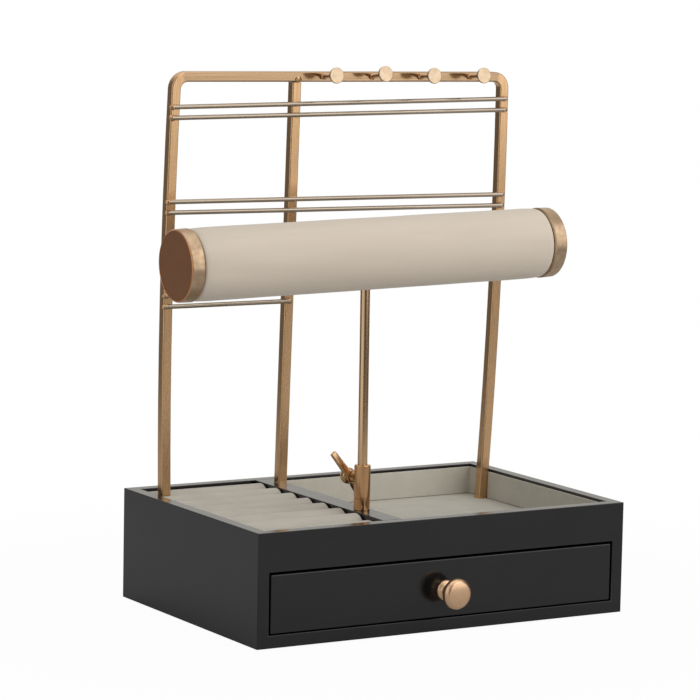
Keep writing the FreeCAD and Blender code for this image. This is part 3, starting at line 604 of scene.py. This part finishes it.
brass_cast = brushed_brass("cast_brass_wings", "none", (0.52, 0.33, 0.175), (0.66, 0.44, 0.25), (0.16, 0.26))
hub_points = [(0, 3.6), (2, 3.6), (2, 10.0), (4.5, 10.0), (4.5, 11.6), (4.1, 12.0), (4.1, 12.7), (5.0, 13.1),
              (5.8, 13.9), (5.8, 16.6), (4.9, 18.3), (2.8, 18.9), (0, 19.0)]
bm = turned_bm(hub_points, [(4, 0.5), (8, 0.5), (9, 1.3)], 56)
wing_middle, wing_size, wing_root, wing_reach = 12.0, (4.6, 20.0, 3.2), 2.0, 19.4
wing_flare, wing_height = math.radians(8), 13.7
for sign in (-1, 1):
    wing = bmesh.new()
    bmesh.ops.create_cube(wing, size=1, matrix=Matrix.Translation((0, sign * wing_middle * mm, 0)) @
                          Matrix.Diagonal((*(side * mm for side in wing_size), 1)))
    bmesh.ops.subdivide_edges(wing, edges=list(wing.edges), cuts=3, use_grid_fill=True)
    # each wing gets narrower and thinner towards its tip
    for vert in wing.verts:
        share = (abs(vert.co.y) / mm - wing_root) / wing_reach
        vert.co.x *= 1.10 - 0.18 * share
        vert.co.z *= 1.25 - 0.35 * share
    round_edges(wing, [e for e in wing.edges if e.calc_face_angle(0) > 1], 1.1, 4)
    spread = Matrix.Translation((0, 0, wing_height * mm)) @ Matrix.Rotation(sign * wing_flare, 4, "X")
    bmesh.ops.transform(wing, matrix=spread, verts=wing.verts)
    add_into(bm, wing)
bmesh.ops.transform(bm, matrix=screw_lay @ Matrix.Rotation(-wing_lean, 4, "Z"), verts=bm.verts)
wings = finished(bm, "wing_screw_cast", brass_cast, "clamp_screw", angle=40, weighted=False)
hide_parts("wing_screw")

# ---- Post -------------------------------------------------------------------------------------
# A drawn rod that slides in the sleeve, turned down at its top where the roll's hub sits on it.

brass_post = brushed_brass("brushed_brass_post", "z", (0.57, 0.375, 0.21), (0.69, 0.465, 0.27), (0.12, 0.20))
post_lean, lean_from = math.radians(-0.3), 100
bm = turned_bm([(0, 90.1), (3.45, 90.1), (3.45, 252.3), (2.5, 252.3), (2.5, 270.5), (0, 270.5)],
               [(1, 0.5), (2, 0.3)], 48)
# the sleeve's play lets the post lean a little to the left
bmesh.ops.transform(bm, matrix=Matrix.Translation((post_x * mm, post_y * mm, lean_from * mm)) @
                    Matrix.Rotation(post_lean, 4, "Y") @ Matrix.Translation((0, 0, -lean_from * mm)),
                    verts=bm.verts)
post = finished(bm, "post_drawn", brass_post, "post", angle=40)
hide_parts("tbar_post")

# ---- Bracelet roll ----------------------------------------------------------------------------
# A card tube with thin foam and beige velvet pulled tight over it, between two brass caps. A seam
# runs along its underside, and the cloth is turned in at both caps.

roll_tilt, roll_z = math.radians(1.2), 262.3
roll_from, roll_to = 0.65 - 151.25, 0.65 + 151.25
roll_lay = (Matrix.Translation((post_x * mm, post_y * mm, roll_z * mm)) @
            Matrix.Rotation(math.pi / 2 - roll_tilt, 4, "Y"))
roll_velvet = felt("beige_velvet_roll", (0.575, 0.495, 0.405), (0.61, 0.53, 0.435), pile=1500, sheen=0.4,
                   streak=(0.12, 1, 1))
cap_length, cover_radius, shoulder_length, steps_along = 10.5, 25.1, 12, 70
seam_angle, seam_width, seam_depth, ripple_height, tucked_radius = 0.35, 0.035, 0.5, 0.16, 24.3
cover_low, cover_high = roll_from + cap_length, roll_to - cap_length
shoulder = ((22.5, 0.5), (23.4, 0.35), (24.2, 0.9), (24.6, 2.0), (24.85, 4.5), (25.0, 8.0))
straight = cover_high - cover_low - 2 * shoulder_length
points = [(radius, cover_low + run) for radius, run in shoulder]
points += [(cover_radius, cover_low + shoulder_length + straight * step / steps_along)
           for step in range(steps_along + 1)]
points += [(radius, cover_high - run) for radius, run in reversed(shoulder)]
bm = turned_bm(points, [], 96)
for vert in bm.verts:
    angle = math.atan2(vert.co.y, vert.co.x)
    ripple = noise.noise(Vector((vert.co.z * 28, math.cos(angle) * 2.2, math.sin(angle) * 2.2)))
    seam = math.exp(-((angle - seam_angle) / seam_width) ** 2)
    radius = math.hypot(vert.co.x, vert.co.y)
    if radius > tucked_radius * mm:
        scale = 1 + (ripple_height * mm * ripple - seam_depth * mm * seam) / radius
        vert.co.x *= scale
        vert.co.y *= scale
bmesh.ops.transform(bm, matrix=roll_lay, verts=bm.verts)
cover = finished(bm, "bracelet_roll_velvet", roll_velvet, "bracelet_roll", angle=60, weighted=False)
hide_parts("roll_cover")

core_board, shader = finish_called("card_tube_and_hub")
cloud = colour_node(core_board, shader, (0.10, 0.085, 0.07), (0.17, 0.15, 0.12), (0.3, 0.7), 160)
roughness_node(core_board, shader, cloud, 0.7, 0.9)
relief(core_board, shader, 1500, 0.00005, 0.5)
coat(("roll_core_tube", "roll_hub"), core_board)

# ---- Roll end caps ----------------------------------------------------------------------------
# Turned brass caps pushed into the tube: a brushed band, a narrow raised rim and a flat face that
# is plated darker than the band.

brass_band = brushed_brass("brushed_brass_caps", "none", (0.40, 0.27, 0.16), (0.52, 0.38, 0.25), (0.30, 0.42))
bronze_face = brushed_brass("bronze_cap_faces", "none", (0.54, 0.24, 0.11), (0.61, 0.285, 0.135),
                            (0.28, 0.38))
face_depth, face_radius = 0.8, 24.6
cap_points = [(0, 0.25), (23.7, 0.25), (23.9, 0.0), (24.1, 0.0), (24.85, 0.7), (25.15, 9.4), (24.4, 10.2),
              (23.2, 10.5), (20, 10.5), (20, 18.5), (18.5, 18.5)]
for side, start, turn in (("left", roll_from, 0), ("right", roll_to, math.pi)):
    bm = turned_bm(cap_points, [(4, 0.3)], 96)
    bmesh.ops.transform(bm, matrix=roll_lay @ Matrix.Translation((0, 0, start * mm)) @
                        Matrix.Rotation(turn, 4, "X"), verts=bm.verts)
    cap = finished(bm, "end_cap_%s_turned" % side, brass_band, "bracelet_roll", angle=40)
    cap.data.materials.append(bronze_face)
    middle = roll_lay @ Vector((0, 0, start * mm))
    axis = (roll_lay.to_3x3() @ Vector((0, 0, 1))).normalized()
    for polygon in cap.data.polygons:
        away = polygon.center - middle
        along = away.dot(axis)
        if abs(along) < face_depth * mm and (away - axis * along).length < face_radius * mm:
            polygon.material_index = 1
    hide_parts("end_cap_" + side)

# ---- Studio -----------------------------------------------------------------------------------
# A round white table, a large soft light at the front right and one overhead. Reflections see a dark
# room with two soft patches of light, at the left and above, and a sheet of white paper behind.

floor_mesh = bpy.data.meshes.new("floor")
bm = bmesh.new()
table_radius, fade_from, fade_to = 0.9, 0.20, 0.62
bmesh.ops.create_circle(bm, cap_ends=True, segments=128, radius=table_radius)
bm.to_mesh(floor_mesh)
bm.free()
floor = bpy.data.objects.new("floor", floor_mesh)
bpy.context.scene.collection.objects.link(floor)
floor_white = bpy.data.materials.new("floor_white")
floor_white.use_nodes = True
nodes, links = floor_white.node_tree.nodes, floor_white.node_tree.links
nodes.clear()


def sum_of(nodes, links, first, second, operation="ADD", clamp=False):
    """A Math node between two sockets or numbers."""
    node = nodes.new("ShaderNodeMath")
    node.operation, node.use_clamp = operation, clamp
    for socket, given in zip(node.inputs, (first, second)):
        if isinstance(given, (int, float)):
            socket.default_value = given
        else:
            links.new(given, socket)
    return node.outputs[0]


out = nodes.new("ShaderNodeOutputMaterial")
matt = nodes.new("ShaderNodeBsdfDiffuse")
matt.inputs["Color"].default_value = (0.52, 0.52, 0.52, 1)
glow = nodes.new("ShaderNodeEmission")
paths = nodes.new("ShaderNodeLightPath")
place = nodes.new("ShaderNodeTexCoord")
reach = nodes.new("ShaderNodeVectorMath")
reach.operation = "LENGTH"
fade = nodes.new("ShaderNodeMapRange")
fade.interpolation_type = "SMOOTHSTEP"
fade.inputs["From Min"].default_value, fade.inputs["From Max"].default_value = fade_from, fade_to
fade.inputs["To Min"].default_value, fade.inputs["To Max"].default_value = 0.97, 1.0
mirrored = sum_of(nodes, links, paths.outputs["Is Glossy Ray"], paths.outputs["Is Transmission Ray"])
# seen straight on the table glows white and hides its shadow, more so away from the stand
seen_white = sum_of(nodes, links, paths.outputs["Is Camera Ray"], fade.outputs["Result"], "MULTIPLY")
mirrored_white = sum_of(nodes, links, mirrored, 0.10, "MULTIPLY")
white_share = sum_of(nodes, links, seen_white, mirrored_white, clamp=True)
blend_node = nodes.new("ShaderNodeMixShader")
links.new(place.outputs["Object"], reach.inputs[0])
links.new(reach.outputs["Value"], fade.inputs["Value"])
links.new(white_share, blend_node.inputs["Fac"])
links.new(matt.outputs[0], blend_node.inputs[1])
links.new(glow.outputs[0], blend_node.inputs[2])
links.new(blend_node.outputs[0], out.inputs["Surface"])
floor_mesh.materials.append(floor_white)

world = bpy.data.worlds.new("studio")
bpy.context.scene.world = world
world.use_nodes = True
nodes, links = world.node_tree.nodes, world.node_tree.links
nodes.clear()
out = nodes.new("ShaderNodeOutputWorld")
room = nodes.new("ShaderNodeBackground")
paper = nodes.new("ShaderNodeBackground")
place = nodes.new("ShaderNodeTexCoord")


def toward(direction, start, end, strength):
    """A soft-edged patch of the room's light around one direction."""
    near = nodes.new("ShaderNodeVectorMath")
    near.operation = "DOT_PRODUCT"
    near.inputs[1].default_value = Vector(direction).normalized()
    edge = nodes.new("ShaderNodeMapRange")
    edge.interpolation_type = "SMOOTHSTEP"
    edge.inputs["From Min"].default_value, edge.inputs["From Max"].default_value = start, end
    edge.inputs["To Max"].default_value = strength
    links.new(place.outputs["Generated"], near.inputs[0])
    links.new(near.outputs["Value"], edge.inputs["Value"])
    return edge.outputs["Result"]


paths = nodes.new("ShaderNodeLightPath")
mirrored = sum_of(nodes, links, paths.outputs["Is Glossy Ray"], paths.outputs["Is Transmission Ray"])
left_patch = toward((-1, -0.2, 0.15), 0.66, 0.92, 1.0)
top_patch = toward((0, 0, 1), 0.35, 0.80, 0.65)
dark_room = sum_of(nodes, links, sum_of(nodes, links, left_patch, top_patch), 0.13)
plain_room = sum_of(nodes, links, toward((0.1, -1, 0.5), -0.5, 0.9, 0.38), 0.46)
not_mirrored = sum_of(nodes, links, 1.0, mirrored, "SUBTRACT")
level = sum_of(nodes, links, sum_of(nodes, links, dark_room, mirrored, "MULTIPLY"),
               sum_of(nodes, links, plain_room, not_mirrored, "MULTIPLY"))
paper_seen = sum_of(nodes, links, toward((0.507, 0.852, 0.10), 0.50, 0.85, 0.85), mirrored, "MULTIPLY")
tint = nodes.new("ShaderNodeMix")
tint.data_type = "RGBA"
tint.inputs[6].default_value, tint.inputs[7].default_value = (1, 1, 1, 1), (1, 0.965, 0.90, 1)
links.new(mirrored, tint.inputs[0])
links.new(tint.outputs[2], paper.inputs["Color"])
blend_node = nodes.new("ShaderNodeMixShader")
links.new(level, room.inputs["Strength"])
paper_share = sum_of(nodes, links, paper_seen, paths.outputs["Is Camera Ray"], clamp=True)
links.new(paper_share, blend_node.inputs["Fac"])
links.new(room.outputs[0], blend_node.inputs[1])
links.new(paper.outputs[0], blend_node.inputs[2])
links.new(blend_node.outputs[0], out.inputs["Surface"])


def soft_light(name, at, toward_point, size, brightness):
    """A rectangular soft box; its brightness is the level at which a mirror would show it."""
    lamp = bpy.data.lights.new(name, "AREA")
    lamp.shape = "RECTANGLE"
    lamp.size, lamp.size_y = size
    lamp.energy = brightness * math.pi * size[0] * size[1]
    holder = bpy.data.objects.new(name, lamp)
    bpy.context.scene.collection.objects.link(holder)
    holder.location = at
    holder.rotation_euler = (Vector(toward_point) - Vector(at)).to_track_quat("-Z", "Y").to_euler()
    return holder


soft_light("key_light", (0.80, -1.38, 0.98), (0, 0, 0.55), (1.9, 1.9), 1.5)
soft_light("top_light", (0.0, 0.0, 2.0), (0, 0, 0.2), (1.8, 1.8), 0.9)

camera_data = bpy.data.cameras.new("camera")
camera = bpy.data.objects.new("camera", camera_data)
bpy.context.scene.collection.objects.link(camera)
focal_pixels, picture_pixels = 3463.0976, 700
camera_data.sensor_width = 36
camera_data.lens = camera_data.sensor_width * focal_pixels / picture_pixels
camera_data.clip_end = 50
yaw, pitch, roll = (math.radians(a) for a in (30.78093, 7.40098, 1.15638))
about_z = Matrix(((math.cos(yaw), -math.sin(yaw), 0), (math.sin(yaw), math.cos(yaw), 0), (0, 0, 1)))
upright = Matrix(((1, 0, 0), (0, 0, -1), (0, 1, 0)))
nod = Matrix(((1, 0, 0), (0, math.cos(pitch), -math.sin(pitch)), (0, math.sin(pitch), math.cos(pitch))))
bank = Matrix(((math.cos(roll), -math.sin(roll), 0), (math.sin(roll), math.cos(roll), 0), (0, 0, 1)))
view = bank @ nod @ upright @ about_z
base_middle_seen = Vector((14.99356, 183.84119, 2505.03694))
lens_at = view.transposed() @ -base_middle_seen * mm
lens_at.z += base_z * mm
facing = Matrix((view[0], -view[1], -view[2])).transposed()
camera.matrix_world = Matrix.Translation(lens_at) @ facing.to_4x4()
bpy.context.scene.camera = camera
bpy.context.scene.view_settings.view_transform = "Standard"
